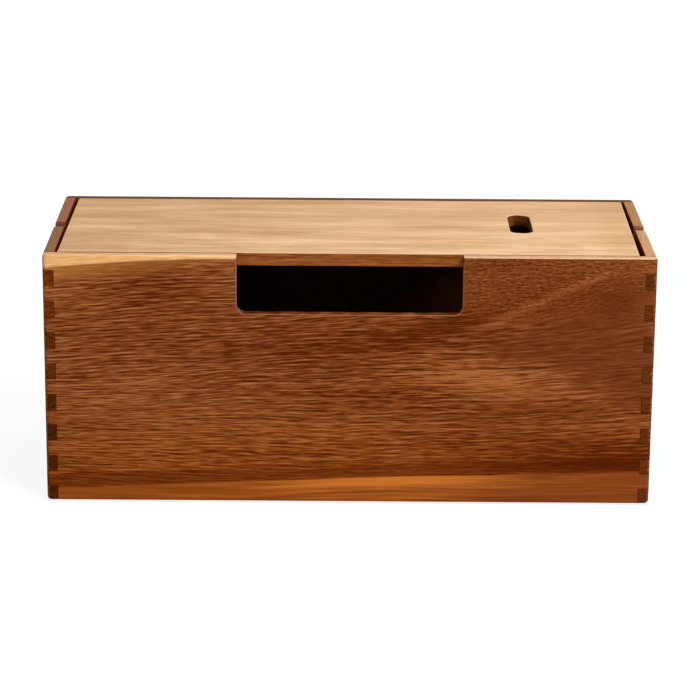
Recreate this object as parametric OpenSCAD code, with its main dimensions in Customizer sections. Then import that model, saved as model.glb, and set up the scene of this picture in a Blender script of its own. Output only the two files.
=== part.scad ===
// Cable management box: a finger-jointed wooden box that stands on a desk or
// floor and hides a power strip. Its lid is a loose board that drops in
// between the walls, rests on four corner blocks and lifts straight off.
// Front is -Y, up is +Z. The origin lies under the middle of the box, on the
// surface it stands on. All sizes are in millimetres.

/* [Box] */
// Outside width of the box, left to right
box_w = 380; // [300:1:480]
// Outside depth of the box, front to back
box_d = 160; // [130:1:220]
// Height of the four walls
wall_h = 160; // [130:1:200]
// Thickness of the wall boards
board_t = 7; // [6:0.5:10]
// Fingers in each corner joint, counting those of both boards
finger_count = 16; // [8:2:20]

/* [Rounded edges] */
// Radius of the four upright corners
corner_r = 3; // [1:0.5:4]
// Radius along the lower outside edges of the walls
lower_edge_r = 2.5; // [1:0.5:3]
// Radius along the upper outside edges of the walls
upper_edge_r = 1.8; // [0.5:0.1:2]

/* [Lid] */
// Thickness of the lid
lid_t = 8; // [6:0.5:12]
// Gap between the lid and each side wall
lid_side_gap = 1.7; // [0.5:0.1:3]
// Gap between the lid and the front and rear walls
lid_end_gap = 0.5; // [0.3:0.1:2]
// Radius of the lid's corners, seen from above
lid_corner_r = 1; // [0.5:0.5:4]
// Radius along the lid's upper and lower edges
lid_edge_r = 0.8; // [0.3:0.1:2]
// Length of the grip slot in the lid, front to back
grip_l = 50; // [35:1:70]
// Width of the grip slot in the lid
grip_w = 14.5; // [10:0.5:25]
// Distance from the right wall's inner face to the middle of the grip slot
grip_from_wall = 73; // [40:1:120]
// How far the middle of the grip slot lies behind the middle of the lid
grip_set_back = 9; // [0:1:20]

/* [Cable openings] */
// Width of the notch in the top of the front wall
notch_w = 140; // [80:1:200]
// Depth of the front notch below the top of the walls
notch_depth = 37; // [20:1:60]
// Radius of the front notch's lower corners
notch_r = 5.5; // [2:0.5:10]
// Width of the cable slot in each side wall
side_slot_w = 12; // [8:0.5:20]
// Depth of the side slots below the top of the walls
side_slot_depth = 35; // [20:1:60]

/* [Bottom board] */
// Thickness of the bottom board
bottom_t = 5; // [3:0.5:6]
// Height of the bottom board's underside above the walls' lower edges
bottom_lift = 4; // [3:0.5:8]
// Depth of the groove that holds the bottom board
groove_depth = 3.5; // [2:0.5:4]
// Free space between the bottom board's edge and the end of its groove
groove_play = 0.5; // [0.2:0.1:1]
// Free space above the bottom board in its groove
groove_headroom = 0.2; // [0.1:0.1:0.5]

/* [Corner blocks] */
// Side of the square blocks that carry the lid
block_side = 12; // [8:1:18]
// Height of the blocks
block_h = 25; // [15:1:40]
// Width of the chamfer on each block's free upright edge
block_chamfer = 2; // [1:0.5:4]

/* [Feet] */
// Diameter of each rubber foot where it is stuck on
foot_d = 12.5; // [8:0.5:20]
// Diameter of each rubber foot where it meets the floor
foot_tip_d = 10.5; // [6:0.5:14]
// How far the feet hold the walls' lower edges above the floor
foot_clearance = 1.5; // [1:0.5:4]
// Distance from the walls' inner faces to the middle of each foot
foot_inset = 14; // [10:1:40]
// Width of the chamfer around the foot's lower edge
foot_chamfer = 0.8; // [0.4:0.1:1.5]

/* [Hidden] */
$fn = 64;

// Half sizes of the box, outside and inside
half_w = box_w / 2;
half_d = box_d / 2;
inner_half_w = half_w - board_t;
inner_half_d = half_d - board_t;

// Heights above the floor
rim_z = foot_clearance;
top_z = rim_z + wall_h;
lid_z = top_z - lid_t;
bottom_z = rim_z + bottom_lift;

// Height of one finger of the corner joints
finger_h = wall_h / finger_count;

// Size of the lid and place of its grip slot
lid_w = 2 * (inner_half_w - lid_side_gap);
lid_d = 2 * (inner_half_d - lid_end_gap);
grip_x = inner_half_w - grip_from_wall;
grip_y = grip_set_back;

// Size of the bottom board
bottom_w = 2 * (inner_half_w + groove_depth - groove_play);
bottom_d = 2 * (inner_half_d + groove_depth - groove_play);

// Height of a foot, from the floor to the bottom board
foot_h = foot_clearance + bottom_lift;

// Extra length of a cutting shape past the face that it cuts
over = 1;

LEFT = -1;
RIGHT = 1;
FRONT = -1;
REAR = 1;

WALL_COLOUR = [0.56, 0.34, 0.18];
END_COLOUR = [0.48, 0.28, 0.14];
LID_COLOUR = [0.83, 0.66, 0.48];
INSIDE_COLOUR = [0.66, 0.45, 0.27];
RUBBER_COLOUR = [0.12, 0.12, 0.12];

// A rectangle that stands on the X axis, with one radius for its two lower
// corners and one for its two upper corners
module rounded_rectangle(w, h, low_r, high_r) {
    difference() {
        translate([-w / 2, 0])
            square([w, h]);
        for (side = [LEFT, RIGHT]) {
            translate([side * w / 2, 0])
                corner_waste(-side, 1, low_r);
            translate([side * w / 2, h])
                corner_waste(-side, -1, high_r);
        }
    }
}

// What a round corner leaves of a square one. The corner is at the origin,
// and the shape that it belongs to lies towards x_way and y_way.
module corner_waste(x_way, y_way, r) {
    difference() {
        translate([min(-x_way * over, x_way * r), min(-y_way * over, y_way * r)])
            square(r + over);
        translate([x_way * r, y_way * r])
            circle(r);
    }
}

// A block that stands on the XY plane, with rounded upright edges and
// rounded lower and upper edges
module rounded_block(w, d, h, upright_r, low_r, high_r) {
    intersection() {
        translate([0, -d / 2, 0])
            linear_extrude(h)
                rounded_rectangle(w, d, upright_r, upright_r);
        translate([0, d / 2, 0])
            rotate([90, 0, 0])
                linear_extrude(d)
                    rounded_rectangle(w, h, low_r, high_r);
        translate([-w / 2, 0, 0])
            rotate([90, 0, 90])
                linear_extrude(w)
                    rounded_rectangle(d, h, low_r, high_r);
    }
}

// The outside shape that all four walls share
module outside_form() {
    translate([0, 0, rim_z])
        rounded_block(box_w, box_d, wall_h, corner_r, lower_edge_r, upper_edge_r);
}

// The fingers of every second row, at all four corners of the box. Row 0 is
// the lowest one.
module finger_rows(first_row) {
    for (row = [first_row : 2 : finger_count - 1])
        for (x_side = [LEFT, RIGHT])
            for (y_side = [FRONT, REAR])
                translate([
                    x_side * (half_w - board_t / 2 + over / 2),
                    y_side * (half_d - board_t / 2 + over / 2),
                    rim_z + (row + 0.5) * finger_h
                ])
                    cube([board_t + over, board_t + over, finger_h], center = true);
}

// The groove that runs round the inside for the bottom board
module bottom_groove() {
    groove_w = 2 * (inner_half_w + groove_depth);
    groove_d = 2 * (inner_half_d + groove_depth);
    groove_h = bottom_t + groove_headroom;
    translate([-groove_w / 2, -groove_d / 2, bottom_z])
        cube([groove_w, groove_d, groove_h]);
}

// A long wall, with the fingers of the odd rows
module long_wall(y_side) {
    difference() {
        intersection() {
            outside_form();
            translate([0, y_side * (half_d - board_t / 2), rim_z + wall_h / 2])
                cube([box_w, board_t, wall_h], center = true);
        }
        finger_rows(0);
        bottom_groove();
    }
}

// A short wall, with the fingers of the even rows
module short_wall(x_side) {
    difference() {
        intersection() {
            outside_form();
            translate([x_side * (half_w - board_t / 2), 0, rim_z + wall_h / 2])
                cube([board_t, box_d, wall_h], center = true);
        }
        finger_rows(1);
        bottom_groove();
    }
}

// Outline of the front notch, standing on its own lower edge
module notch_outline() {
    translate([-notch_w / 2, notch_r])
        square([notch_w, notch_depth - notch_r + over]);
    translate([notch_r - notch_w / 2, 0])
        square([notch_w - 2 * notch_r, notch_depth]);
    for (side = [LEFT, RIGHT])
        translate([side * (notch_w / 2 - notch_r), notch_r])
            circle(notch_r);
}

module front_panel() {
    color(WALL_COLOUR)
        difference() {
            long_wall(FRONT);
            translate([0, over - inner_half_d, top_z - notch_depth])
                rotate([90, 0, 0])
                    linear_extrude(board_t + 2 * over)
                        notch_outline();
        }
}

module rear_panel() {
    color(WALL_COLOUR)
        long_wall(REAR);
}

// Cable slot through a side wall, open at the top and round at the bottom
module side_slot(x_side) {
    slot_r = side_slot_w / 2;
    slot_z = top_z - side_slot_depth + slot_r;
    translate([x_side * (half_w - board_t / 2), 0, slot_z])
        rotate([0, 90, 0])
            cylinder(h = board_t + 2 * over, r = slot_r, center = true);
    translate([x_side * (half_w - board_t / 2), 0, (slot_z + top_z + over) / 2])
        cube([board_t + 2 * over, side_slot_w, top_z + over - slot_z], center = true);
}

module side_panel(x_side) {
    color(END_COLOUR)
        difference() {
            short_wall(x_side);
            side_slot(x_side);
        }
}

module bottom_panel() {
    color(INSIDE_COLOUR)
        translate([-bottom_w / 2, -bottom_d / 2, bottom_z])
            cube([bottom_w, bottom_d, bottom_t]);
}

// Round-ended slot through the lid, for a finger or a cable
module grip_slot() {
    grip_r = grip_w / 2;
    straight = grip_l - grip_w;
    translate([grip_x, grip_y, lid_z - over]) {
        for (end = [FRONT, REAR])
            translate([0, end * straight / 2, 0])
                cylinder(h = lid_t + 2 * over, r = grip_r);
        translate([-grip_r, -straight / 2, 0])
            cube([grip_w, straight, lid_t + 2 * over]);
    }
}

module lid() {
    color(LID_COLOUR)
        difference() {
            translate([0, 0, lid_z])
                rounded_block(lid_w, lid_d, lid_t, lid_corner_r, lid_edge_r, lid_edge_r);
            grip_slot();
        }
}

// Block glued into an inside corner, with its top where the lid rests
module corner_block(x_side, y_side) {
    color(INSIDE_COLOUR)
        translate([x_side * inner_half_w, y_side * inner_half_d, lid_z - block_h])
            linear_extrude(block_h)
                polygon([
                    [0, 0],
                    [-x_side * block_side, 0],
                    [-x_side * block_side, -y_side * (block_side - block_chamfer)],
                    [-x_side * (block_side - block_chamfer), -y_side * block_side],
                    [0, -y_side * block_side]
                ]);
}

// Rubber foot stuck under the bottom board
module foot(x_side, y_side) {
    foot_x = x_side * (inner_half_w - foot_inset);
    foot_y = y_side * (inner_half_d - foot_inset);
    color(RUBBER_COLOUR)
        translate([foot_x, foot_y, 0])
            rotate_extrude()
                polygon([
                    [0, 0],
                    [foot_tip_d / 2 - foot_chamfer, 0],
                    [foot_tip_d / 2, foot_chamfer],
                    [foot_d / 2, foot_h],
                    [0, foot_h]
                ]);
}

front_panel();
rear_panel();
side_panel(LEFT);  // left_panel
side_panel(RIGHT);  // right_panel
bottom_panel();
lid();
corner_block(LEFT, FRONT);  // corner_block_front_left
corner_block(RIGHT, FRONT);  // corner_block_front_right
corner_block(LEFT, REAR);  // corner_block_rear_left
corner_block(RIGHT, REAR);  // corner_block_rear_right
foot(LEFT, FRONT);  // foot_front_left
foot(RIGHT, FRONT);  // foot_front_right
foot(LEFT, REAR);  // foot_rear_left
foot(RIGHT, REAR);  // foot_rear_right
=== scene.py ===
# %% [markdown]
# # A finger-jointed box for a power strip
#
# The real object is a small case of oiled hardwood. Four boards meet at the
# corners in finger joints, a thin board closes the bottom, and a loose lid
# drops in between the walls and rests on four blocks. Cables leave through a
# wide notch in the front and a narrow slot in each side.
#
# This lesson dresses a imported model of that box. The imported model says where
# every piece is, so the first step is to load it, and each later step puts a
# better-looking piece in the place of a plain one.

# %% Load the frame
import math

import bmesh
import bpy
from mathutils import Euler, Matrix, Vector


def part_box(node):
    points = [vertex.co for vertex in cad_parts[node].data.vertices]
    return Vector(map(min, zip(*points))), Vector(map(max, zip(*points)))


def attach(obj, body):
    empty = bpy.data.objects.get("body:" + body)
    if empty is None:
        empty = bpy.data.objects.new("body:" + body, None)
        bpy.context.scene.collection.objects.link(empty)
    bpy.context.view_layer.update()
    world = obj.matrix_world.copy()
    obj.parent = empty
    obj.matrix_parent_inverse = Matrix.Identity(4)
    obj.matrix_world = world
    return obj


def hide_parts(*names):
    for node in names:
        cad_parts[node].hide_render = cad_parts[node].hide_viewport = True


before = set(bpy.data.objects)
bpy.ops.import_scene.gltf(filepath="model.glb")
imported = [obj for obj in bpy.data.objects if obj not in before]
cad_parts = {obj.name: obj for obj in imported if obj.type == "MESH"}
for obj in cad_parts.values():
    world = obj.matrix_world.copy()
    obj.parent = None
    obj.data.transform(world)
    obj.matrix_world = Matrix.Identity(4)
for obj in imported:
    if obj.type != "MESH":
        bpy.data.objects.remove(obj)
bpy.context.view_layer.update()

# %% [markdown]
# ## Sizes
#
# A joiner marks out the whole box from a few measures. Here they come from
# the frame where a board's own size gives them, and are named where they are
# cuts within a board. Blender counts in metres, so MM turns millimetres into
# Blender's unit.

# %% Read the sizes
MM = 0.001
HAIR = 0.05 * MM          # two places closer than this are the same place

front_low, front_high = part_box("front_panel")
lid_low, lid_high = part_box("lid")
base_low, base_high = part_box("bottom_panel")
rest_low, rest_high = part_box("corner_block_front_left")
foot_low, foot_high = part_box("foot_front_left")

half_w = front_high.x
half_d = -front_low.y
rim_z = front_low.z
top_z = front_high.z
board_t = front_high.y - front_low.y
inner_half_w = half_w - board_t
inner_half_d = half_d - board_t

FINGERS = 16              # finger rows in each corner joint
finger_h = (top_z - rim_z) / FINGERS

print(f"box {2000 * half_w:.0f} x {2000 * half_d:.0f} mm, walls {1000 * board_t:.0f} mm thick,"
      f" fingers {1000 * finger_h:.0f} mm high")

# %% [markdown]
# ## The camera
#
# The photographer stood well back with a long lens, a little above the box
# and almost square to its front. A long lens keeps the upright edges nearly
# parallel. The camera was also turned by half a degree about its own line of
# sight, which is why the lower edge of the box runs slightly downhill.

# %% Place the camera
CAMERA_PLACE = Vector((-7.4, -1760.4, 593.9)) * MM
CAMERA_DOWN = math.radians(16.324)
CAMERA_YAW = math.radians(0.267)
CAMERA_ROLL = math.radians(0.478)
LENS_MM = 144.8
SENSOR_MM = 36

camera = bpy.data.objects.new("camera", bpy.data.cameras.new("camera"))
bpy.context.scene.collection.objects.link(camera)
camera.data.sensor_width = SENSOR_MM
camera.data.lens = LENS_MM
facing = Euler((math.pi / 2 - CAMERA_DOWN, 0, -CAMERA_YAW)).to_matrix()
turned = facing @ Matrix.Rotation(CAMERA_ROLL, 3, "Z")
camera.matrix_world = Matrix.Translation(CAMERA_PLACE) @ turned.to_4x4()
bpy.context.scene.camera = camera
print("camera stands", round((CAMERA_PLACE - Vector((0, 0, top_z / 2))).length, 2), "m from the box")

# %% [markdown]
# ## Tools for shaping a board
#
# Every board starts as a block and is then cut and rounded in edit mode, as
# it would be by hand. An operator acts on whatever is selected, so the
# helpers always clear the selection first and then pick faces or edges by
# where they are.


# %% Selection helpers
SHARP_ANGLE = math.radians(60)
FACING = 0.9              # from this part of its normal on, a face points along an axis
SQUARE = 0.999            # and from this part on, it is square to the axis


def clear_selection():
    if bpy.context.mode != "OBJECT":
        bpy.ops.object.mode_set(mode="OBJECT")
    bpy.ops.object.select_all(action="DESELECT")


def edit(piece):
    clear_selection()
    piece.select_set(True)
    bpy.context.view_layer.objects.active = piece
    bpy.ops.object.mode_set(mode="EDIT")


def middle(part):
    """Middle of a face or an edge."""
    return sum((corner.co for corner in part.verts), Vector()) / len(part.verts)


def pick(kind, test):
    """Selects the faces ("FACE") or edges ("EDGE") that pass the test."""
    bpy.ops.mesh.select_mode(type=kind)
    bpy.ops.mesh.select_all(action="DESELECT")
    mesh = bmesh.from_edit_mesh(bpy.context.edit_object.data)
    for part in (mesh.faces if kind == "FACE" else mesh.edges):
        if test(part):
            part.select_set(True)
    bmesh.update_edit_mesh(bpy.context.edit_object.data)


def near(value, place):
    return abs(value - place) < HAIR


def sharp(edge):
    return len(edge.link_faces) == 2 and edge.calc_face_angle() > SHARP_ANGLE


def upright(edge):
    low, high = (corner.co for corner in edge.verts)
    return near(low.x, high.x) and near(low.y, high.y)


# %% [markdown]
# Cutting follows one recipe. Lines are scored across the board where the cut
# will be, the faces inside the outline are deleted on both sides of the
# board, and the open outlines are bridged, which walls the cut in. A Boolean
# modifier could cut as well, but it leaves stray edges on the faces, and
# those spoil a rounding that runs past them.

# %% Cutting and rounding helpers
AXES = {"X": Vector((1, 0, 0)), "Y": Vector((0, 1, 0)), "Z": Vector((0, 0, 1))}
FLAT_ANGLE = math.radians(0.5)
SMOOTH_ANGLE = math.radians(35)


def block(name, low, high):
    """A block that fills the room between two corners, with its place in its mesh."""
    clear_selection()
    low, high = Vector(low), Vector(high)
    bpy.ops.mesh.primitive_cube_add(size=1, location=(low + high) / 2, scale=high - low)
    bpy.ops.object.transform_apply(location=True, rotation=True, scale=True)
    piece = bpy.context.active_object
    piece.name = name
    piece.data.name = name
    return piece


def score(axis, places, where=lambda face: True):
    """Scores lines square to an axis across the faces that pass the test."""
    for place in places:
        pick("FACE", where)
        bpy.ops.mesh.bisect(plane_co=AXES[axis] * place, plane_no=AXES[axis])


def cut_through(inside, on_outline):
    """Deletes the faces inside the cut and bridges its two outlines."""
    pick("FACE", inside)
    bpy.ops.mesh.delete(type="FACE")
    pick("EDGE", lambda edge: edge.is_boundary and on_outline(middle(edge)))
    bpy.ops.mesh.bridge_edge_loops()


def merge_flat_faces():
    bpy.ops.mesh.select_mode(type="FACE")
    bpy.ops.mesh.select_all(action="SELECT")
    bpy.ops.mesh.remove_doubles(threshold=HAIR / 10)
    bpy.ops.mesh.select_all(action="SELECT")
    bpy.ops.mesh.dissolve_limited(angle_limit=FLAT_ANGLE)


def round_edges(radius, steps, test):
    pick("EDGE", test)
    bpy.ops.mesh.bevel(offset=radius, offset_type="OFFSET", segments=steps, profile=0.5,
                       affect="EDGES", clamp_overlap=False)


def merge_slivers():
    """Closes the hair-wide gap that is left where two roundings meet in a half circle."""
    bpy.ops.mesh.select_all(action="SELECT")
    bpy.ops.mesh.remove_doubles(threshold=HAIR / 2)


def finish_mesh(piece):
    """Points the faces outwards, smooths the roundings and says whether the mesh is closed."""
    bpy.ops.mesh.select_all(action="SELECT")
    bpy.ops.mesh.remove_doubles(threshold=HAIR / 10)
    bpy.ops.mesh.select_all(action="SELECT")
    bpy.ops.mesh.normals_make_consistent(inside=False)
    mesh = bmesh.from_edit_mesh(piece.data)
    open_edges = sum(1 for edge in mesh.edges if len(edge.link_faces) != 2)
    faces = len(mesh.faces)
    bpy.ops.object.mode_set(mode="OBJECT")
    bpy.ops.object.shade_smooth_by_angle(angle=SMOOTH_ANGLE)
    evened = piece.modifiers.new("even shading", "WEIGHTED_NORMAL")
    evened.keep_sharp = True
    bpy.ops.object.modifier_apply(modifier=evened.name)
    print(f"{piece.name}: {faces} faces, {open_edges} open edges")


# %% [markdown]
# ## Rounding the outside
#
# On the real box the four walls are glued up first and sanded together, so
# one rounding runs over all the fingers of a corner. The boards here are
# separate pieces, so each is rounded by the same rule: the upright corners
# first, then the lower edges, then the upper ones. Equal steps make the
# roundings of two neighbours meet without a ledge.

# %% Round a wall board
CORNER_R = 3 * MM         # upright outside corners
LOWER_R = 2.5 * MM        # lower outside edges
UPPER_R = 1.8 * MM        # upper outside edges
OUTER_STEPS = 6           # faces in the rounding of a corner or a lower edge
UPPER_STEPS = 5           # faces in the rounding of an upper edge


def on_outside(spot):
    return abs(spot.x) > half_w - CORNER_R - HAIR or abs(spot.y) > half_d - CORNER_R - HAIR


def round_outside():
    def on_corner(edge):
        spot = middle(edge)
        return upright(edge) and near(abs(spot.x), half_w) and near(abs(spot.y), half_d)

    def outer_edge_at(height):
        return lambda edge: (sharp(edge) and near(middle(edge).z, height)
                             and on_outside(middle(edge)))
    round_edges(CORNER_R, OUTER_STEPS, on_corner)
    round_edges(LOWER_R, OUTER_STEPS, outer_edge_at(rim_z))
    round_edges(UPPER_R, UPPER_STEPS, outer_edge_at(top_z))


# %% [markdown]
# ## The long walls
#
# The front and rear boards run the full length of the box. Each has fingers
# on every second row at both ends, and a groove near its lower edge for the
# bottom board. The groove is cut while the board is still a plain block: the
# faces in its way are deleted and the open ends are bridged, which walls the
# channel from one end to the other. The fingers could be blocks set against
# the ends. Here they are pulled out of them, so each one really is part of
# its board.

# %% Cut the long walls
GROOVE_DEPTH = 3.5 * MM
GROOVE_H = 5.2 * MM
groove_z = base_low.z


def in_groove_rows(spot):
    return groove_z < spot.z < groove_z + GROOVE_H


def row_of(z):
    """Which finger row a height falls in, counted from the bottom."""
    return int((z - rim_z) / finger_h)


def long_board(name, side):
    """A front (side -1) or rear (side 1) board, with its groove and fingers."""
    low_y, high_y = sorted((side * inner_half_d, side * half_d))
    piece = block(name, (-inner_half_w, low_y, rim_z), (inner_half_w, high_y, top_z))
    edit(piece)

    def at_end(face):
        return near(abs(middle(face).x), inner_half_w) and abs(face.normal.x) > FACING

    def in_channel(face):
        return in_groove_rows(middle(face)) and abs(middle(face).y) < inner_half_d + GROOVE_DEPTH
    score("Z", [groove_z, groove_z + GROOVE_H])
    score("Y", [side * (inner_half_d + GROOVE_DEPTH)],
          lambda face: at_end(face) and in_groove_rows(middle(face)))
    cut_through(in_channel, lambda spot: near(abs(spot.x), inner_half_w))

    score("Z", [rim_z + row * finger_h for row in range(1, FINGERS)])
    for end in (-1, 1):
        pick("FACE", lambda face: at_end(face) and middle(face).x * end > 0
             and row_of(middle(face).z) % 2 == 1)
        bpy.ops.mesh.extrude_region_move(TRANSFORM_OT_translate={"value": (end * board_t, 0, 0)})
    merge_flat_faces()
    return piece


# %% [markdown]
# The wide notch is sawn down from the top edge of the front board. Its two
# lower corners are rounded, and its rim is sanded so that cables don't chafe.
# The rim catches the light in the photo as a thin pale line. The corners
# could be drawn as arcs before the cut, but it is simpler to cut them square
# and round them with a bevel, and the same steps then make the side slots.

# %% Cut the front notch and finish both long walls
EASED = 0.8 * MM          # sanded rims of the cut-outs and the lid
EASED_STEPS = 3
CRISP = 0.5 * MM          # inside edges, hardly sanded
CRISP_STEPS = 2
SLOT_STEPS = 10           # faces in the rounding of a slot's lower corner


def along_axis(spot, axis):
    return spot["XYZ".index(axis)]


def open_slot(axis, half_width, floor_z, corner_r, on_faces):
    """Cuts a slot down from the top edge of a board, with its lower corners rounded."""
    def between(face):
        return abs(along_axis(middle(face), axis)) < half_width

    def in_corner(edge):
        spot = middle(edge)
        return near(abs(along_axis(spot, axis)), half_width) and near(spot.z, floor_z)
    score(axis, [-half_width, half_width])
    score("Z", [floor_z], between)
    cut_through(lambda face: between(face) and middle(face).z > floor_z, on_faces)
    merge_flat_faces()
    round_edges(corner_r, SLOT_STEPS, in_corner)
    merge_slivers()


def ease_slot(axis, half_width, floor_z):
    """Rounds the rim of a slot, all the way round."""
    def on_rim(edge):
        spot = middle(edge)
        return (sharp(edge) and abs(along_axis(spot, axis)) < half_width + HAIR
                and spot.z > floor_z - HAIR)
    round_edges(EASED, EASED_STEPS, on_rim)


def ease_inside(axis, place):
    """Rounds the upper inner edge of a wall."""
    round_edges(CRISP, CRISP_STEPS, lambda edge: near(middle(edge).z, top_z)
                and near(along_axis(middle(edge), axis), place))


NOTCH_W = 140 * MM
NOTCH_DEPTH = 37 * MM
NOTCH_R = 5.5 * MM
notch_z = top_z - NOTCH_DEPTH

front_board = long_board("front_board", -1)
open_slot("X", NOTCH_W / 2, notch_z, NOTCH_R,
          lambda spot: near(spot.y, -half_d) or near(spot.y, -inner_half_d))
round_outside()
ease_inside("Y", -inner_half_d)
ease_slot("X", NOTCH_W / 2, notch_z)
finish_mesh(front_board)

rear_board = long_board("rear_board", 1)
round_outside()
ease_inside("Y", inner_half_d)
finish_mesh(rear_board)

# %% [markdown]
# ## The short walls
#
# The side boards carry the other half of the fingers, and their ends show on
# the front of the box as small dark blocks of end grain. Their groove stops
# short of the outside, so that it doesn't show: it is pressed into the inner
# face as a pocket. A cable slot with a round bottom is cut down from the top.

# %% Cut the short walls
SIDE_SLOT_W = 12 * MM
SIDE_SLOT_DEPTH = 35 * MM
side_slot_z = top_z - SIDE_SLOT_DEPTH
ALMOST = 0.999            # a rounding of exactly half the width would leave flat slivers


def short_board(name, side):
    """A left (side -1) or right (side 1) board."""
    low_x, high_x = sorted((side * inner_half_w, side * half_w))
    piece = block(name, (low_x, -inner_half_d, rim_z), (high_x, inner_half_d, top_z))
    edit(piece)
    score("Z", [rim_z + row * finger_h for row in range(1, FINGERS)])
    for end in (-1, 1):
        pick("FACE", lambda face: near(middle(face).y, end * inner_half_d)
             and row_of(middle(face).z) % 2 == 0)
        bpy.ops.mesh.extrude_region_move(TRANSFORM_OT_translate={"value": (0, end * board_t, 0)})
    merge_flat_faces()

    def on_inner_face(face):
        return near(middle(face).x, side * inner_half_w) and abs(face.normal.x) > FACING
    pocket_end = inner_half_d + GROOVE_DEPTH
    score("Z", [groove_z, groove_z + GROOVE_H], on_inner_face)
    score("Y", [-pocket_end, pocket_end],
          lambda face: on_inner_face(face) and in_groove_rows(middle(face)))
    pick("FACE", lambda face: on_inner_face(face) and in_groove_rows(middle(face))
         and abs(middle(face).y) < inner_half_d)
    bpy.ops.mesh.extrude_region_move(
        TRANSFORM_OT_translate={"value": (side * GROOVE_DEPTH, 0, 0)})

    open_slot("Y", SIDE_SLOT_W / 2, side_slot_z, SIDE_SLOT_W / 2 * ALMOST,
              lambda spot: near(abs(spot.x), half_w) or near(abs(spot.x), inner_half_w))
    round_outside()
    ease_inside("X", side * inner_half_w)
    ease_slot("Y", SIDE_SLOT_W / 2, side_slot_z)
    finish_mesh(piece)
    return piece


left_board = short_board("left_board", -1)
right_board = short_board("right_board", 1)

# %% [markdown]
# ## The lid
#
# The lid is one thin board with a round-ended slot for a finger. The slot
# starts as a plain oblong hole, and its four upright edges are then rounded
# by almost half its width, which turns each short side into an arc. The real
# lid isn't quite square: its right end is short at the front, and its left
# end at the rear. So two corners of the block are moved inwards first, while
# each corner is still a single edge.

# %% Make the lid
GRIP_W = 14.5 * MM
GRIP_L = 50 * MM
GRIP_X = inner_half_w - 73 * MM          # the middle of the slot
GRIP_Y = 9 * MM
GRIP_STEPS = 14           # faces in a quarter of a round end
LID_CORNER_R = 1 * MM
SHORT_FRONT = 1.8 * MM    # by how much the right end is short at the front
SHORT_REAR = 0.8 * MM     # by how much the left end is short at the rear


def in_grip(part):
    spot = middle(part)
    return (abs(spot.x - GRIP_X) < GRIP_W / 2 + HAIR
            and abs(spot.y - GRIP_Y) < GRIP_L / 2 + HAIR)


def shift_end(x_side, y_side, distance):
    """Moves one upright corner of the lid along the lid."""
    pick("EDGE", lambda edge: upright(edge) and middle(edge).x * x_side > 0
         and middle(edge).y * y_side > 0)
    bpy.ops.transform.translate(value=(distance, 0, 0))


lid_board = block("lid_board", lid_low, lid_high)
edit(lid_board)
shift_end(1, -1, -SHORT_FRONT)
shift_end(-1, 1, SHORT_REAR)
score("X", [GRIP_X - GRIP_W / 2, GRIP_X + GRIP_W / 2])
score("Y", [GRIP_Y - GRIP_L / 2, GRIP_Y + GRIP_L / 2])
cut_through(in_grip, lambda spot: True)
merge_flat_faces()
round_edges(GRIP_W / 2 * ALMOST, GRIP_STEPS, lambda edge: upright(edge) and in_grip(edge))
merge_slivers()
round_edges(LID_CORNER_R, EASED_STEPS, lambda edge: sharp(edge) and upright(edge))
round_edges(EASED, EASED_STEPS, lambda edge: sharp(edge) and not upright(edge))
finish_mesh(lid_board)

# %% [markdown]
# ## The pieces inside and underneath
#
# The bottom board slides in the groove with a little play all round. It is a
# thin plain panel, so a block with eased edges is all it takes.

# %% Make the bottom board
bottom_board = block("bottom_board", base_low, base_high)
edit(bottom_board)
round_edges(CRISP, CRISP_STEPS, sharp)
finish_mesh(bottom_board)

# %% [markdown]
# The four blocks that carry the lid are sawn from one stick with its free
# edge planed off, so one block is modelled and the others are mirrored
# copies. Mirroring turns a mesh inside out, so the copies have their faces
# turned back.


# %% Make the lid rests
def copy_piece(piece, name):
    """A copy with its own mesh, left open for editing with everything selected."""
    clear_selection()
    piece.select_set(True)
    bpy.context.view_layer.objects.active = piece
    bpy.ops.object.duplicate(linked=False)
    copy = bpy.context.active_object
    copy.name = name
    copy.data.name = name
    edit(copy)
    bpy.ops.mesh.select_all(action="SELECT")
    return copy


COPIES = {"front_right": (-1, 1), "rear_left": (1, -1), "rear_right": (-1, -1)}
REST_CHAMFER = 2 * MM

lid_rests = {"front_left": block("lid_rest_front_left", rest_low, rest_high)}
edit(lid_rests["front_left"])
round_edges(REST_CHAMFER, 1, lambda edge: upright(edge) and near(middle(edge).x, rest_high.x)
            and near(middle(edge).y, rest_high.y))
round_edges(CRISP, CRISP_STEPS, lambda edge: sharp(edge) and not upright(edge))
finish_mesh(lid_rests["front_left"])
for place, (turn_x, turn_y) in COPIES.items():
    lid_rests[place] = copy_piece(lid_rests["front_left"], "lid_rest_" + place)
    bpy.ops.transform.resize(value=(turn_x, turn_y, 1), center_override=(0, 0, 0))
    finish_mesh(lid_rests[place])

# %% [markdown]
# The feet are soft rubber buttons, narrower at the tip and slightly hollow
# underneath, so that they grip. They could be spun from a profile, but a
# cylinder is quicker: it is tapered by shrinking its lower face, two insets
# mark out a rim and its slope, and the middle is pushed up. One foot is made
# and copied to the other three corners.

# %% Make the feet
FOOT_TIP = 5.25 / 6.25    # width at the tip over the width at the top
FOOT_SIDES = 48           # faces round the foot
FOOT_EDGE = 0.8 * MM
FOOT_EDGE_STEPS = 4
FOOT_HOLLOW = 0.4 * MM
FOOT_RIM = 1.4 * MM
FOOT_SLOPE = 0.5 * MM

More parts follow.
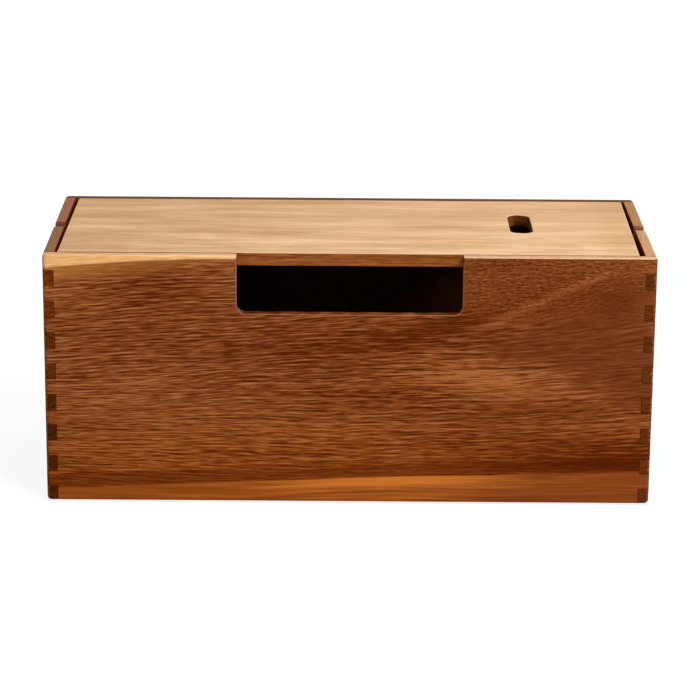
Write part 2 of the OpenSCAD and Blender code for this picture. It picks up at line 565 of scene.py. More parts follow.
foot_middle = (foot_low + foot_high) / 2
clear_selection()
bpy.ops.mesh.primitive_cylinder_add(
    vertices=FOOT_SIDES, radius=(foot_high.x - foot_low.x) / 2,
    depth=foot_high.z - foot_low.z, location=foot_middle)
bpy.ops.object.transform_apply(location=True, rotation=True, scale=True)
first_foot = bpy.context.active_object
first_foot.name = "rubber_foot_front_left"
first_foot.data.name = first_foot.name
edit(first_foot)
pick("FACE", lambda face: face.normal.z < -FACING)
bpy.ops.transform.resize(value=(FOOT_TIP, FOOT_TIP, 1), center_override=foot_middle)
round_edges(FOOT_EDGE, FOOT_EDGE_STEPS,
            lambda edge: near(middle(edge).z, foot_low.z) and sharp(edge))
round_edges(CRISP / 2, CRISP_STEPS,
            lambda edge: near(middle(edge).z, foot_high.z) and sharp(edge))
pick("FACE", lambda face: face.normal.z < -SQUARE)
bpy.ops.mesh.inset(thickness=FOOT_RIM)
bpy.ops.mesh.inset(thickness=FOOT_SLOPE)
bpy.ops.transform.translate(value=(0, 0, FOOT_HOLLOW))
finish_mesh(first_foot)

rubber_feet = {"front_left": first_foot}
for place, (turn_x, turn_y) in COPIES.items():
    rubber_feet[place] = copy_piece(first_foot, "rubber_foot_" + place)
    way = (foot_middle.x * (turn_x - 1), foot_middle.y * (turn_y - 1), 0)
    bpy.ops.transform.translate(value=way)
    finish_mesh(rubber_feet[place])

# %% [markdown]
# ## Telling the frame what each piece is
#
# Each new piece stands for one piece of the imported model and moves with the same body. The lid is
# the only piece that moves.

# %% Hang the pieces on the frame
pieces = [(front_board, "box", "front_panel", "wall_wood"),
          (rear_board, "box", "rear_panel", "wall_wood"),
          (left_board, "box", "left_panel", "wall_wood"),
          (right_board, "box", "right_panel", "wall_wood"),
          (bottom_board, "box", "bottom_panel", "inner_wood"),
          (lid_board, "lid", "lid", "lid_wood")]
pieces += [(rest, "box", "corner_block_" + place, "inner_wood")
           for place, rest in lid_rests.items()]
pieces += [(foot, "box", "foot_" + place, "foot_rubber") for place, foot in rubber_feet.items()]
for piece, body, node, slot in pieces:
    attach(piece, body)
    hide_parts(node)
print(len(pieces), "pieces hung on the frame")

# %% [markdown]
# ## Shader arithmetic
#
# A wood finish is a long sum of noises. Written out node by node it would be
# hard to read, so a Wire stands for one value on its way between nodes, and
# ordinary arithmetic on wires adds Math nodes. Every other node comes from
# one method, which takes the node's kind, its settings and what goes into
# its sockets.


# %% The Wire and Finish classes
class Wire:
    """One value, vector or colour on its way from a node's output."""

    def __init__(self, finish, socket):
        self.finish = finish
        self.socket = socket

    def other(self, name):
        """Another output of the same node."""
        return Wire(self.finish, self.socket.node.outputs[name])

    def maths(self, operation, *others):
        """A Math node with this wire in its first socket."""
        return self.finish.maths(operation, self, *others)

    def __add__(self, value):
        return self.maths("ADD", value)

    def __sub__(self, value):
        return self.maths("SUBTRACT", value)

    def __rsub__(self, value):
        return self.finish.maths("SUBTRACT", value, self)

    def __mul__(self, value):
        return self.maths("MULTIPLY", value)

    def __truediv__(self, value):
        return self.maths("DIVIDE", value)

    def __rtruediv__(self, value):
        return self.finish.maths("DIVIDE", value, self)

    def __abs__(self):
        return self.maths("ABSOLUTE")

    __radd__ = __add__
    __rmul__ = __mul__


class Finish:
    """Builds the nodes of one material or of the world."""

    def __init__(self, owner):
        owner.use_nodes = True
        self.owner = owner
        self.tree = owner.node_tree
        self.tree.nodes.clear()

    def node(self, kind, settings=None, values=None, out=0):
        """Adds a node and gives back the wire from its chosen output, if it has any."""
        made = self.tree.nodes.new(kind)
        for name, setting in (settings or {}).items():
            if name == "stops":
                place_stops(made.color_ramp, setting)
            else:
                setattr(made, name, setting)
        for name, value in (values or {}).items():
            if isinstance(value, Wire):
                self.tree.links.new(value.socket, made.inputs[name])
            else:
                made.inputs[name].default_value = value
        return Wire(self, made.outputs[out]) if made.outputs else made

    def maths(self, operation, *values):
        return self.node("ShaderNodeMath", {"operation": operation}, dict(enumerate(values)))


def place_stops(ramp, stops):
    """Gives a colour ramp its stops, each a place from 0 to 1 and a colour."""
    while len(ramp.elements) < len(stops):
        ramp.elements.new(1)
    for element, (place, colour) in zip(ramp.elements, stops):
        element.position = place
        element.color = colour


# %% [markdown]
# Colours are easiest to judge as the eye meets them on a screen, from 0 to
# 255, but light adds up in another scale. So colours are written in screen
# numbers here and turned once, by the usual sRGB curve.


# %% Colour helpers
def screen(red, green, blue):
    """A screen colour, 0 to 255, as the light it stands for."""
    def light(value):
        value = value / 255
        return value / 12.92 if value < 0.04045 else ((value + 0.055) / 1.055) ** 2.4
    return (light(red), light(green), light(blue), 1)


def mix(factor, first, second, blend="MIX"):
    """Goes from the first colour to the second as the factor goes from 0 to 1."""
    return factor.finish.node("ShaderNodeMix", {"data_type": "RGBA", "blend_type": blend},
                              {0: factor, 6: first, 7: second}, out=2)


def toned(value, tones):
    """Reads a number off a ramp of tones."""
    return value.finish.node("ShaderNodeValToRGB", {"stops": tones}, {0: value})


def varied(value, tone, spread):
    """A tone that gets darker and lighter, by a share of its light, as a number goes from 0 to 1."""
    darker, lighter = (tuple(part * share for part in tone[:3]) + (1,)
                       for share in (1 - spread, 1 + spread))
    return mix(value, darker, lighter)


print("pure middle grey on screen is", round(screen(128, 128, 128)[0], 3), "in light")

# %% [markdown]
# A finish says where it changes with two soft switches, an even rise and a
# bell, and how it changes with noise. All three work in millimetres. Wood is
# long along the grain and fine across it, so the noise is stretched.


# %% Switches and noise
def rise(value, start, end):
    """0 below the start, 1 past the end, and an even curve between them."""
    return value.finish.node("ShaderNodeMapRange", {"interpolation_type": "SMOOTHSTEP"},
                             {"Value": value, "From Min": start, "From Max": end})


def hump(value, centre, reach):
    """1 at the centre, falling away to both sides like a bell."""
    away = (value - centre) / reach
    return (away * away * -1).maths("EXPONENT")


def cloud(spot, length, width, detail=1.0, rough=0.5):
    """Noise from 0 to 1, in patches so long along the grain and so wide across it.

    The spot is three wires: the place along the grain, across it and deep.
    """
    along, across, deep = spot
    place = along.finish.node("ShaderNodeCombineXYZ", None,
                              {0: along / length, 1: across / width, 2: deep / width})
    return along.finish.node("ShaderNodeTexNoise", None,
                             {"Vector": place, "Scale": 1.0, "Detail": detail, "Roughness": rough})


def swing(spot, length, width, detail=1.0, rough=0.5):
    """The same noise, around 0."""
    return cloud(spot, length, width, detail, rough) - 0.5


# %% [markdown]
# Every finish ends in the same way: its colour, its roughness and a slight
# relief come together in one surface. Thin oil shines much less than
# lacquer, so the wood's mirror gloss is turned far down.

# %% The end of every finish
SHEEN = 0.03              # a share of the usual gloss
OILED = {"IOR": 1.45, "Specular IOR Level": SHEEN}
UNOILED = {"Specular IOR Level": SHEEN}


def surface(finish, colour, rough, relief, strength, height, gloss):
    """Closes a finish and gives its material back.

    The relief is a number over the surface, and the height in mm is how deep
    it goes where that number runs from 0 to 1.
    """
    bump = finish.node("ShaderNodeBump", None,
                       {"Strength": strength, "Distance": height * MM, "Height": relief})
    skin = finish.node("ShaderNodeBsdfPrincipled", None,
                       {"Base Color": colour, "Roughness": rough, "Normal": bump, **gloss})
    finish.node("ShaderNodeOutputMaterial", None, {0: skin})
    print(f"{finish.owner.name}: {len(finish.tree.nodes)} nodes")
    return finish.owner


def give(piece, material):
    piece.data.materials.clear()
    piece.data.materials.append(material)


# %% [markdown]
# ## The wood
#
# A board is sawn from solid wood, so its pattern must run through it: a line
# on the front turns over the edge and goes on along the top. A flat picture
# of wood would break at every edge and repeat from board to board. So the
# finish reads the place inside the board in millimetres, as three measures:
# along the grain, across it and deep. Each board counts them from its own
# start, so that no two show the same figure.

# %% Places inside a board
GRAIN = {"X": ("X", "Z", "Y"), "Y": ("Y", "Z", "X"), "Z": ("Z", "X", "Y"), "flat": ("X", "Y", "Z")}


def place_in_mm(finish):
    """The place on the box in mm, as wires named by axis."""
    spot = finish.node("ShaderNodeTexCoord", out="Object")
    parts = finish.node("ShaderNodeSeparateXYZ", None, {0: spot})
    return {axis: parts.other(axis) * (1 / MM) for axis in "XYZ"}


def board_place(place, grain, start):
    """The place along the grain, across it and deep, counted from a chosen start."""
    return [place[axis] + shift for axis, shift in zip(GRAIN[grain], start)]


def facing_along(finish, axis):
    """How far a face points along an axis, from -1 to 1."""
    normal = finish.node("ShaderNodeTexCoord", out="Normal")
    parts = finish.node("ShaderNodeSeparateXYZ", None, {0: normal})
    return parts.other(axis)


# %% [markdown]
# ## The wall finish
#
# The walls are a reddish brown hardwood with a lively figure: thin dark and
# light strokes a millimetre or so thick and a finger's width long, that
# wander a little up and down. Broad patches lie under them. The strokes and
# patches are added up to one number around a half, and a ramp turns that
# number into the wood's own tones, from the darkest vessel to the palest
# fibre.

# %% Strokes of the wall wood
WALL_TONES = [(0.08, screen(80, 29, 1)), (0.28, screen(102, 46, 12)), (0.41, screen(115, 57, 21)),
              (0.5, screen(124, 64, 28)), (0.59, screen(131, 71, 33)), (0.72, screen(143, 82, 43)),
              (0.92, screen(162, 100, 57))]
WAVES = [(150, 70, 10), (45, 14, 2)]     # length, width and height of the grain's waves, in mm
LINE_GAP = 2.38           # from one dark line to the next, in mm
STROKE_L = 21             # how long a stroke is, in mm
STROKE_W = 2.8            # over what width neighbouring strokes come and go
SECOND_SET = 112          # how far off the second set reads its noise
HAIR_W = 0.9              # width of the finest hairs, which are half as long
CURL_L = 5.5              # how long a stroke is where the wood is curly, in mm

print("lines from the foot of a wall to its top:", round((top_z - rim_z) / MM / LINE_GAP))


def wander(spot):
    """The height of the grain after its slow and its quick waves."""
    height = spot[1]
    for length, width, swell in WAVES:
        height = height + swing(spot, length, width) * swell
    return height


def strokes(spot, length):
    """Thin strokes along the grain, around 0.

    Two sets of even lines, a quarter of a gap apart, come and go with the
    noise, and finer hairs lie over them.
    """
    along, height, deep = spot
    phase = height * (2 * math.pi / LINE_GAP)
    first = swing(spot, length, STROKE_W, 2.0, 0.6)
    second = swing((along, height, deep + SECOND_SET), length, STROKE_W, 2.0, 0.6)
    hairs = swing(spot, length * 0.55, HAIR_W)
    return (phase.maths("SINE") * first + phase.maths("COSINE") * second) * 1.68 + hairs * 1.25


def figure(spot):
    """Short strokes over long fine lines, around 0."""
    return strokes(spot, STROKE_L) + swing(spot, 80, 1.8) * 0.46


def bands(spot):
    """Broad darker and lighter bands and patches under the strokes, around 0."""
    return swing(spot, 110, 7) * 0.5 + swing(spot, 120, 40) * 0.5


# %% [markdown]
# Some faces of a board look unlike the rest. End grain drinks more oil, so it is much darker. The
# tops of the front and side walls are lighter than their faces, partly in the wood's own tone and
# partly as painted light from the lamp, the left one least; the rear wall's top is dark. The inside
# is painted shade: dark brown, giving way to redder wood near the rim.
# Each of these is found from the direction that the face points in, and
# from how high it lies. A dark hair of glue shows round every finger.

# %% Faces that differ
TOP_MM = top_z / MM       # the finishes count in millimetres
GLUE_HALF = 0.36          # half the width of a line of glue, in mm


def end_grain(finish, grain):
    """1 on faces that cut the grain across, 0 on faces that run with it."""
    return rise(abs(facing_along(finish, GRAIN[grain][0])), 0.7, 0.95)


def upper_edge(finish, place):
    """1 on the top of a wall and on the upper part of its rounding."""
    return rise(facing_along(finish, "Z"), 0.6, 0.9) * rise(place["Z"], TOP_MM - 4, TOP_MM - 2)


def slot_mouth(place):
    """1 in the upper part of a side slot, where the top's tone, with its painted light, reaches in.
    """
    half = SIDE_SLOT_W / 2 / MM
    within = 1 - rise(abs(place["Y"]), half + 1, half + 2)
    return rise(place["Z"], TOP_MM - 4.5, TOP_MM - 1) * within


def inner_face(finish, inward):
    """1 on the inner face; inward is the axis and sign that it points along."""
    axis, sign = inward
    return rise(facing_along(finish, axis) * sign, 0.3, 0.7)


def glue_line(place):
    """1 on the seams between the fingers."""
    def seam(distance):
        return 1 - rise(abs(distance), GLUE_HALF * 0.4, GLUE_HALF)

    def past(distance):
        return rise(distance, -GLUE_HALF, -GLUE_HALF * 0.5)
    out_x = abs(place["X"]) - inner_half_w / MM
    out_y = abs(place["Y"]) - inner_half_d / MM
    row = ((place["Z"] - rim_z / MM) / (finger_h / MM)).maths("MINIMUM", FINGERS - 0.01)
    nearest = row - row.maths("ROUND")
    within = rise(row, 0.4, 0.6) * (1 - rise(row, FINGERS - 0.6, FINGERS - 0.4))
    level = seam(nearest * (finger_h / MM)) * past(out_x) * past(out_y) * within
    odd = row.maths("FLOORED_MODULO", 2.0).maths("GREATER_THAN", 1.0)
    on_front = seam(out_x) * past(out_y - 1) * (1 - odd)
    on_side = seam(out_y) * past(out_x - 1) * odd
    return level.maths("MAXIMUM", on_front + on_side)


# %% [markdown]
# ## What is special about the front
#
# The front board was cut where the tree's pale outer wood meets the dark
# heart. A wedge of golden sapwood runs along its upper left edge, and an
# orange strip along its foot. At the right the grain parts round a quiet
# dark wedge, with a pale flame rising over it and an orange glow under it,
# and above the flame the wood is curly, so its strokes are short. The
# places are in mm, measured from the middle of the box and up from the
# floor.

# %% Where the front's marks lie
# Bent lines: start along the board, height there, slope, bend
STRIP_LINE = (0, 17.7, 0.0355, 0.00004)
SAPWOOD_LINE = (-74, 159.6, 0, 0.00048)
FLAME_LINE = (87, 118.5, 0.5, 0.0006)
WEDGE_TIP = (84, 106)
WEDGE_SPREAD = 0.42


def above(line, along, across):
    """How far a place lies above a bent line."""
    start, height, slope, bend = line
    run = along - start
    return across - (height + run * slope - run * run * bend)


def in_strip(along, across):
    return 1 - rise(above(STRIP_LINE, along, across), -0.9, 0.7)


def over_strip(along, across):
    """1 in the dark band just above the strip."""
    over = above(STRIP_LINE, along, across)
    return rise(over, -1, 0.5) * (1 - rise(over, 5, 13))


def in_wedge(along, across):
    """1 in the quiet dark wedge that opens to the right."""
    tip_x, tip_z = WEDGE_TIP
    return rise((along - tip_x) * WEDGE_SPREAD - abs(across - tip_z), -12, 14)


def in_flame(along, across):
    body = hump(above(FLAME_LINE, along, across), 0, 3.2) * rise(along, 58, 90)
    return body * (1 - rise(along, 146, 172))


def in_curly(along, across):
    return rise(along, 52, 84) * rise(across, 116, 132)


# %% [markdown]
# The marks work in three ways. They bend the grain, they make its strokes
# livelier or quieter, and they make places darker or lighter. The smaller
# places are soft round patches, so a list of them is enough.

# %% How the marks change the figure
# along, across, reach along, reach across, slope, how much lighter
FRONT_PATCHES = [
    (80, 83, 52, 9, -0.12, 0.38),        # orange glow
    (64, 98, 28, 6, 0.1, 0.1),           # foot of the flame
    (56, 116, 38, 9, 0.2, -0.26),        # dark under the notch's right corner
    (0, 100, 80, 18, -0.05, -0.2),       # dark middle
    (-120, 142, 40, 16, 0.0, -0.18),     # dark under the sapwood
    (-132, 110, 34, 9, 0.0, -0.1),       # dark place at the left
    (-182, 142, 20, 8, 0.0, 0.2),        # light upper left corner
    (-86, 158, 24, 3, 0.0, 0.24),        # light under the sapwood
    (-120, 83, 34, 7, 0.03, 0.15),       # light band at the left
    (-158, 51, 30, 6, 0.0, -0.15),       # dark line below it
    (100, 120, 40, 9, 0.3, -0.13),       # dark under the flame
    (30, 71, 52, 4, -0.03, -0.2),        # dark line under the glow
    (120, 60, 60, 5, -0.02, -0.12),      # its right end
    (-10, 53, 60, 7, 0.03, 0.12),        # light band
    (-140, 46, 70, 20, 0.0, 0.14),       # warm left end
    (160, 34, 75, 11, 0.0, -0.3),        # dark place above the strip
    (150, 138, 60, 16, 0.0, -0.14),      # dark upper right corner
    (90, 155, 22, 6, 0.0, -0.14),        # dark beside the notch
    # A painted highlight where the rounded right corner catches the lamp.
    (189, 124, 12, 32, 0.0, 0.24),       # light right edge
]
print(len(FRONT_PATCHES), "soft patches on the front")


def front_flow(along, across):
    """Lifts the grain along the flame, and lets it rise to the right, least near the foot."""
    lifted = hump(across, 124, 16) * rise(along, 60, 180) * -9
    return lifted - along * rise(across, 20, 80) * 0.045


def front_liven(fine, along, across, spot):
    """Turns the strokes curly or quiet where the board is."""
    curly = in_curly(along, across)
    fine = fine * (1 - curly) + strokes(spot, CURL_L) * curly * 0.72
    low_right = rise(along, 20, 120) * (1 - rise(across, 68, 80))
    lively = 1.1 - rise(along, -60, 60) * 0.1 - low_right * 0.14
    lively = lively * (1 - in_wedge(along, across) * 0.45)
    lively = lively * (1 + hump(along, 80, 50) * hump(across, 83, 12) * 0.2)
    lively = lively * (1 - in_strip(along, across) * 0.7)
    return fine * lively * (1 - over_strip(along, across) * 0.55)


def front_shade(along, across, height):
    """Darker and lighter places, added to the strokes."""
    tilt = (height - across) * 0.4
    total = (in_flame(along, across) * 0.26 - in_wedge(along, across) * 0.2
             - over_strip(along, across) * 0.2)
    for middle_x, middle_z, reach_x, reach_z, slope, lighter in FRONT_PATCHES:
        rest = across + tilt - (along - middle_x) * slope
        patch = hump(along, middle_x, reach_x) * hump(rest, middle_z, reach_z)
        total = total + patch * lighter
    return total


# %% [markdown]
# The strip and the sapwood are not only lighter but of another colour, so
# they are painted over the brown, each with its own tones.

# %% What the front's marks paint
LOW_WARMTH = screen(255, 238, 179)
GLOW_WARMTH = screen(255, 243, 205)
STRIP_TONES = (screen(143, 72, 22), screen(130, 63, 22))
STRIP_GLOW = screen(196, 112, 40)
WEDGE_TONE = screen(106, 57, 33)
SAPWOOD_SHADE = screen(192, 126, 60)
SAPWOOD_TONES = (screen(206, 150, 88), screen(240, 190, 128))


def strip_colour(along, across, streak, value):
    """The orange of the strip, brightest right of the middle and near its upper edge."""
    bright = hump(along, 22, 85) * (0.25 + hump(across, 17, 6) * 0.75)
    bright = bright + (streak - 0.5) * 1.2 + (value - 0.5) * 0.6
    orange = mix(rise(along, -80, 120), *[varied(streak, tone, 0.4) for tone in STRIP_TONES])
    return mix(rise(bright, 0, 1), orange, STRIP_GLOW)


def front_paint(colour, along, across, height, value):
    """Warms the lower half, and lays the strip, the wedge and the sapwood over the brown."""
    colour = mix(1 - rise(across, 16, 90), colour, LOW_WARMTH, "MULTIPLY")
    glow = hump(along, 80, 50) * hump(across + (along - 84) * 0.13, 82, 11)
    colour = mix(glow * 0.7, colour, GLOW_WARMTH, "MULTIPLY")
    streak = cloud((along, height, height), 70, 3.2)
    colour = mix(in_strip(along, across + (streak - 0.5) * 4), colour,
                 strip_colour(along, across, streak, value))
    colour = mix(in_wedge(along, across) * 0.2, colour, WEDGE_TONE)
    over = above(SAPWOOD_LINE, along, across)
    left_end = 1 - rise(along, -190, -60)
    colour = mix(rise(over, -14, -1) * left_end * 0.55, colour, SAPWOOD_SHADE)
    sapwood = rise(over, -0.8, 0.8) * (1 - rise(along, -72, -66))
    return mix(sapwood, colour, mix(value, *SAPWOOD_TONES))


# %% [markdown]
# The front's edges differ too. The top has a painted highlight along its front edge and is golden at
# the left, the rounding under it has painted shade at the right, and the rim of the notch has a
# painted highlight.

# %% The front's edges
# Dark hairs of glue, and painted shade on the rounding under the top edge.
GLUE_AND_PAINTED_SHADE = screen(52, 22, 6)            # glue, and the dark line under the top edge
# A painted highlight on the notch's rim.
NOTCH_RIM_HIGHLIGHT = screen(190, 135, 100)
# A painted highlight along the front edge of the top.
PAINTED_EDGE_HIGHLIGHT = screen(255, 240, 225)
GOLDEN = screen(243, 239, 220)
NOTCH_HALF = NOTCH_W / 2 / MM
NOTCH_FLOOR = notch_z / MM


def front_top(painted_light, place):
    """The front board's top: golden at the left, with a painted highlight along its front edge."""
    front = -half_d / MM
    painted_light = mix(1 - rise(place["X"], -150, -85), painted_light, GOLDEN, "MULTIPLY")
    return mix((1 - rise(place["Y"], front + 1.5, front + 2)) * 0.16, painted_light, PAINTED_EDGE_HIGHLIGHT, "ADD")


def shade_below_edge(finish, place):
    """1 on the lower part of the top's rounding, right of the notch, where shade is painted."""
    upward = facing_along(finish, "Z")
    lower = rise(upward, 0.08, 0.25) * (1 - rise(upward, 0.5, 0.75))
    high = rise(place["Z"], TOP_MM - 3.5, TOP_MM - 2.5)
    return lower * high * rise(place["X"], NOTCH_HALF - 10, NOTCH_HALF + 10)


def notch_rim_highlight(finish, place):
    """1 on the rounded edge of the notch, where a highlight is painted."""
    forward = abs(facing_along(finish, "Y"))
    edge = rise(forward, 0.15, 0.4) * (1 - rise(forward, 0.9, 0.99))
    within = 1 - rise(abs(place["X"]), NOTCH_HALF + 1, NOTCH_HALF + 3)
    within = within * rise(place["Z"], NOTCH_FLOOR - 2.5, NOTCH_FLOOR - 0.5)
    return edge * within * (1 - rise(place["Z"], TOP_MM - 4.5, TOP_MM - 2.5))


# %% [markdown]
# Now the finish of a wall can be laid up in layers: the figure of the wood, the top with its painted
# light, the end grain, the painted shade of the inside and last the lines of glue. One function
# serves all four walls, and the front only adds its marks.

# %% The finish of a wall
# Painted shade for the inside: dark brown low down, redder wood near the rim.
INSIDE_PAINTED_SHADE = (screen(72, 39, 20), screen(114, 46, 10))


def wall_figure(along, across, deep, front):
    """The height of the grain, and the number that the wall's tones are read from."""
    lifted = across + front_flow(along, across) if front else across
    height = wander((along, lifted, deep))
    spot = (along, height, deep)
    fine = figure(spot)
    broad = bands(spot)
    if front:
        fine = front_liven(fine, along, across, spot)
        broad = broad * 0.35 + front_shade(along, across, height)
    return height, 0.5 + fine + broad


def from_to(factor, value, tones, spread):
    """Goes from the first tone to the second, both varied with the strokes."""
    return mix(factor, *[varied(value, tone, spread) for tone in tones])


def wall_wood(name, grain, start, inward, end_tones, top_tones, front=False):
    """The finish of one wall.

    The end grain goes from its first tone to its second on the way up, and the
    top edge from its first to its second on the way to the rear.
    """
    finish = Finish(bpy.data.materials.new(name))
    place = place_in_mm(finish)
    along, across, deep = board_place(place, grain, start)
    height, value = wall_figure(along, across, deep, front)
    colour = toned(value, WALL_TONES)
    # The top's tone: partly the wood's own, partly painted light from the lamp.
    painted_light = from_to(rise(place["Y"], -8, 8), value, top_tones, 0.17)
    cut = from_to(rise(place["Z"], 40, 110), value, end_tones, 0.7)
    # Painted shade on the inside: dark low down, redder near the rim.
    inside = from_to(rise(place["Z"], TOP_MM - 34, TOP_MM - 7), value, INSIDE_PAINTED_SHADE, 0.4)
    if grain == "Y":
        cut = mix(slot_mouth(place) * 0.5, cut, painted_light)
    if front:
        colour = front_paint(colour, along, across, height, value)
        # Painted shade on the rounding under the top edge, right of the notch.
        colour = mix(shade_below_edge(finish, place) * 0.35, colour, GLUE_AND_PAINTED_SHADE)
        # The top: golden sapwood at the left, and a painted highlight along its front edge.
        painted_light = front_top(painted_light, place)
    # Paints the top's tone, with its painted light, over the top and its upper rounding.
    colour = mix(upper_edge(finish, place) * 0.85, colour, painted_light)
    colour = mix(end_grain(finish, grain), colour, cut)
    # Lays the painted shade over the inner faces.
    colour = mix(inner_face(finish, inward), colour, inside)
    colour = mix(glue_line(place) * 0.8, colour, GLUE_AND_PAINTED_SHADE)
    if front:
        # A painted highlight on the notch's rim.
        colour = mix(notch_rim_highlight(finish, place) * 0.35, colour, NOTCH_RIM_HIGHLIGHT)
    return surface(finish, colour, 0.44 + value * 0.12, value, 0.3, 0.12, OILED)


# %% Finish the walls
END_LEFT = (screen(68, 29, 2), screen(98, 45, 6))
END_RIGHT = (screen(92, 43, 10), screen(90, 41, 10))
# Top tones: the wood's own and painted light from the lamp; the left wall's top is darker and the
# rear wall's top dark.
FRONT_TOP = (screen(222, 173, 128), screen(222, 173, 128))
REAR_TOP = (screen(92, 58, 20), screen(92, 58, 20))
LEFT_TOP = (screen(141, 98, 63), screen(152, 99, 69))
RIGHT_TOP = (screen(205, 156, 107), screen(173, 128, 88))

give(front_board, wall_wood("front wood", "X", (0, 0, 0), ("Y", 1), END_LEFT, FRONT_TOP, True))
give(rear_board, wall_wood("rear wood", "X", (640, 210, 90), ("Y", -1), END_LEFT, REAR_TOP))
give(left_board, wall_wood("left wood", "Y", (330, 480, 20), ("X", 1), END_LEFT, LEFT_TOP))
give(right_board, wall_wood("right wood", "Y", (910, 130, 60), ("X", -1), END_RIGHT, RIGHT_TOP))

# %% [markdown]
# ## The lid finish
#
# The lid was cut from a lighter part of the tree. Its streaks are long and soft, and painted light
# makes it lighter towards the front right, but for its right end. Its edges and the wall of the slot
# show the darker wood inside, and painted shade darkens the wall of the slot, most of all lower
# down. A painted highlight lies on the eased rounding between top and edge, brightest at the lid's
# ends and round the slot, and on a strip along the front of the top. Along the front the rounding
# has a painted shadow on both sides of the notch, where it lies in the seam with the front board.
# All this could be painted on by hand, but masks that follow the lid's own sizes can be changed by a
# number.

# %% The lid's figure
LID_TONES = [(0.15, screen(200, 154, 109)), (0.4, screen(215, 171, 125)),
             (0.6, screen(223, 180, 134)), (0.85, screen(237, 197, 154))]
LID_EDGE_TONES = (screen(112, 54, 14), screen(160, 96, 46))
# A painted highlight on the lid's rounding and along its front.
LID_PAINTED_HIGHLIGHT = screen(250, 216, 184)
# A painted shadow in the seam with the front board.
LID_PAINTED_SHADOW = screen(84, 38, 4)
SLOT_SHADOW = screen(34, 13, 5)
LID_FRONT = lid_low.y / MM


def lid_figure(place, along, across, deep):
    """The number that the lid's tones are read from: streaks, fibres, pores and a slope of painted
    light.
    """
    spot = (along, across + swing((along, across, deep), 160, 60) * 14, deep)
    front = 1 - rise(place["Y"], -70, 10)
    # Painted light: lighter towards the front right, darker at the right end.
    painted_light_slope = place["X"] * 0.0007 - place["Y"] * 0.0014 - rise(place["X"], 148, 174) * 0.18
    painted_light_slope = painted_light_slope + front * (rise(place["X"], -190, 60) * 0.2 - 0.19)
    lively = 0.76 + front * 0.48 - rise(place["X"], -60, 160) * 0.15
    streaks = swing(spot, 90, 13) * (1.2 - rise(place["X"], 60, 160) * 0.45)
    fine = swing(spot, 45, 4.2, 2.0, 0.6) * 1.05 + swing(spot, 12, 2.2) * 0.45
    return 0.47 + painted_light_slope + streaks + fine * lively


# %% The lid's edges and slot
def lid_side(upward):
    """1 on the lid's edges and in its slot, but not on its two faces."""
    return rise(upward, -0.95, -0.9) * (1 - rise(upward, 0.8, 0.98))


def in_slot(place):
    """1 in the finger slot and close round it."""
    half_across = GRIP_W / 2 / MM
    half_along = GRIP_L / 2 / MM
    near_x = 1 - rise(abs(place["X"] - GRIP_X / MM), half_across + 0.75, half_across + 1.75)
    near_y = 1 - rise(abs(place["Y"] - GRIP_Y / MM), half_along + 0.5, half_along + 1.5)
    return near_x * near_y


def lid_seam_shadow(place, upward):
    """Where shadow is painted on the front rounding: beside the notch, and mostly at the left."""
    front = 1 - rise(place["Y"], LID_FRONT + 0.6, LID_FRONT + 0.85)
    front = front * rise(abs(place["X"]), NOTCH_HALF - 10, NOTCH_HALF + 2)
    strength = 0.95 - rise(place["X"], -60, 60) * 0.6 + rise(place["X"], 90, 160) * 0.25
    return front * rise(upward, 0.4, 0.65) * strength


def slot_shadow(side, low, sideways):
    """How dark the wall of the slot is: more so lower down, least where it faces the lamp."""
    shadow = side * (0.25 + low * 0.65) * (1 - rise(abs(sideways), 0.3, 0.9) * 0.6)
    return shadow * (1 - rise(sideways, 0.15, 0.55) * 0.8)


def lid_wood(name):
    finish = Finish(bpy.data.materials.new(name))
    place = place_in_mm(finish)
    along, across, deep = board_place(place, "flat", (150, 40, 0))
    value = lid_figure(place, along, across, deep)
    upward = facing_along(finish, "Z")
    sideways = facing_along(finish, "X")
    side = lid_side(upward)
    slot = in_slot(place)
    low = 1 - rise(place["Z"], lid_low.z / MM + 1, lid_high.z / MM - 1)
    colour = toned(value, LID_TONES)
    # A painted highlight along the front of the top.
    front_highlight = 1 - rise(place["Y"], LID_FRONT + 1.5, LID_FRONT + 3.5)
    colour = mix(front_highlight * 0.3, colour, LID_PAINTED_HIGHLIGHT)
    edge_value = 0.26 + low * 0.26 + figure((along, deep, across))
    colour = mix(side, colour, mix(edge_value, *LID_EDGE_TONES))
    # A painted shadow on the front rounding beside the notch.
    colour = mix(lid_seam_shadow(place, upward), colour, LID_PAINTED_SHADOW)
    colour = mix(slot * slot_shadow(side, low, sideways), colour, SLOT_SHADOW)
    # A painted highlight on the rounding, at the lid's ends and round the slot.
    rounding = rise(upward, 0.2, 0.5) * (1 - rise(upward, 0.95, 0.999))
    painted_light = slot.maths("MAXIMUM", rise(abs(sideways), 0.1, 0.3))
    colour = mix(rounding * painted_light * 0.7, colour, LID_PAINTED_HIGHLIGHT)
    return surface(finish, colour, 0.5, value, 0.25, 0.1, OILED)


give(lid_board, lid_wood("lid wood"))

# %% [markdown]
# ## The finish of the inner pieces
#
# The bottom board and the lid rests are plain wood that was sanded but not
# oiled. They lie in the dark, so one quiet finish serves them all, turned to
# run along each piece's own grain.

# %% Finish the inner pieces
INNER_TONES = [(0.2, screen(96, 58, 30)), (0.5, screen(128, 84, 50)), (0.8, screen(154, 108, 70))]


def inner_wood(name, grain, start):
    finish = Finish(bpy.data.materials.new(name))
    along, across, deep = board_place(place_in_mm(finish), grain, start)
    height = wander((along, across, deep))
    value = 0.5 + swing((along, height, deep), 60, 4, 3.0, 0.6) * 2
    return surface(finish, toned(value, INNER_TONES), 0.65, value, 0.3, 0.15, UNOILED)


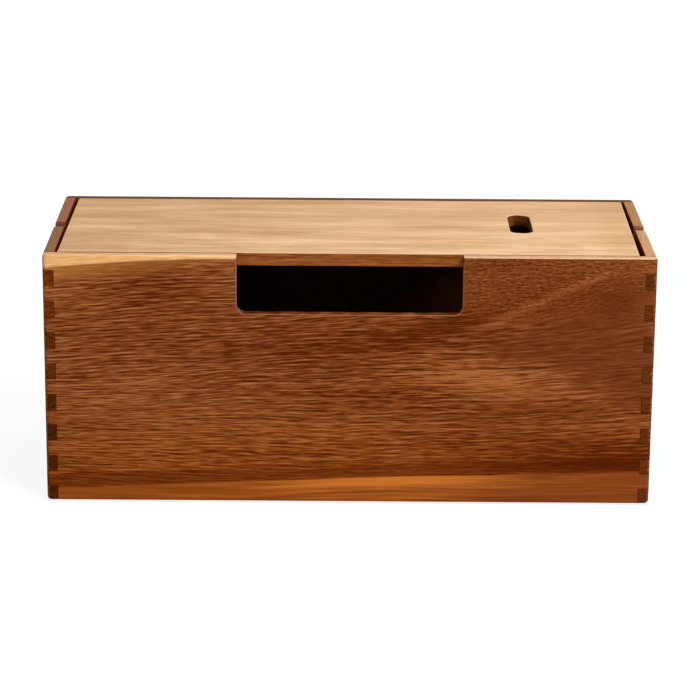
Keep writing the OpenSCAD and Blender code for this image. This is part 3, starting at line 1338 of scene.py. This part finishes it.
give(bottom_board, inner_wood("bottom wood", "flat", (20, 300, 10)))
rest_wood = inner_wood("rest wood", "Z", (70, 20, 40))
for piece in lid_rests.values():
    give(piece, rest_wood)

# %% [markdown]
# ## The rubber
#
# The feet are moulded from matt, nearly black rubber. Its faint speckle is
# about a millimetre across, and the same noise also gives the relief.

# %% Finish the feet
RUBBER_TONES = [(0.3, screen(38, 37, 36)), (0.7, screen(58, 56, 54))]
SPECKLES = 900.0          # speckles in a metre


def foot_rubber(name):
    finish = Finish(bpy.data.materials.new(name))
    spot = finish.node("ShaderNodeTexCoord", out="Object")
    speckle = finish.node("ShaderNodeTexNoise", None,
                          {"Vector": spot, "Scale": SPECKLES, "Detail": 3.0})
    return surface(finish, toned(speckle, RUBBER_TONES), 0.75, speckle, 0.2, 0.1, {})


rubber = foot_rubber("foot rubber")
for piece in rubber_feet.values():
    give(piece, rubber)

# %% [markdown]
# ## Floor, backdrop and light
#
# The photo shows the box on pure white. A brighter room would give that too,
# but it would bleach the wood. So the world is white to the camera and softer
# to the object, and the floor glows for the camera alone, so that it comes
# out white where no shadow falls. The one lamp is broad and stands high at
# the front right, because the right end of the real box is the brighter one.

# %% Floor
FLOOR_REACH = 6.0
FLOOR_GLOW = 0.84
FLOOR_GREY = (0.3, 0.3, 0.3, 1)
WHITE = (1, 1, 1, 1)

clear_selection()
bpy.ops.mesh.primitive_plane_add(size=FLOOR_REACH, location=(0, 0, 0))
floor = bpy.context.active_object
floor.name = "studio_floor"

paper = Finish(bpy.data.materials.new("floor paper"))
to_camera = paper.node("ShaderNodeLightPath", out="Is Camera Ray")
plain = paper.node("ShaderNodeBsdfDiffuse", None, {"Color": screen(235, 235, 235)})
catching = paper.node("ShaderNodeBsdfDiffuse", None, {"Color": FLOOR_GREY})
glowing = paper.node("ShaderNodeEmission", None, {"Color": WHITE, "Strength": FLOOR_GLOW})
bright = paper.node("ShaderNodeAddShader", None, {0: catching, 1: glowing})
floor_skin = paper.node("ShaderNodeMixShader", None, {0: to_camera, 1: plain, 2: bright})
paper.node("ShaderNodeOutputMaterial", None, {0: floor_skin})
give(floor, paper.owner)
print("floor", FLOOR_REACH, "m across")

# %% World and lamp
ROOM_LIGHT = 0.5
LAMP_PLACE = Vector((0.9, -1.1, 1.5))
LAMP_AIM = Vector((0, 0, 0.1))
LAMP_SIZE = 0.8
LAMP_POWER = 30

world = bpy.data.worlds.new("studio")
bpy.context.scene.world = world
sky = Finish(world)
path = sky.node("ShaderNodeLightPath", out="Is Camera Ray")
shown = path.maths("MAXIMUM", path.other("Is Glossy Ray"))
shown = shown.maths("MAXIMUM", path.other("Is Transmission Ray"))
soft = sky.node("ShaderNodeBackground", None, {"Color": WHITE, "Strength": ROOM_LIGHT})
white = sky.node("ShaderNodeBackground", None, {"Color": WHITE, "Strength": 1.0})
both = sky.node("ShaderNodeMixShader", None, {0: shown, 1: soft, 2: white})
sky.node("ShaderNodeOutputWorld", None, {0: both})

lamp = bpy.data.objects.new("key", bpy.data.lights.new("key", "AREA"))
bpy.context.scene.collection.objects.link(lamp)
lamp.data.shape = "SQUARE"
lamp.data.size = LAMP_SIZE
lamp.data.energy = LAMP_POWER
look = (LAMP_AIM - LAMP_PLACE).to_track_quat("-Z", "Y")
lamp.matrix_world = Matrix.Translation(LAMP_PLACE) @ look.to_matrix().to_4x4()
bpy.context.scene.view_settings.view_transform = "Standard"
print("lamp of", LAMP_POWER, "W,", round((LAMP_AIM - LAMP_PLACE).length, 2), "m from the box")
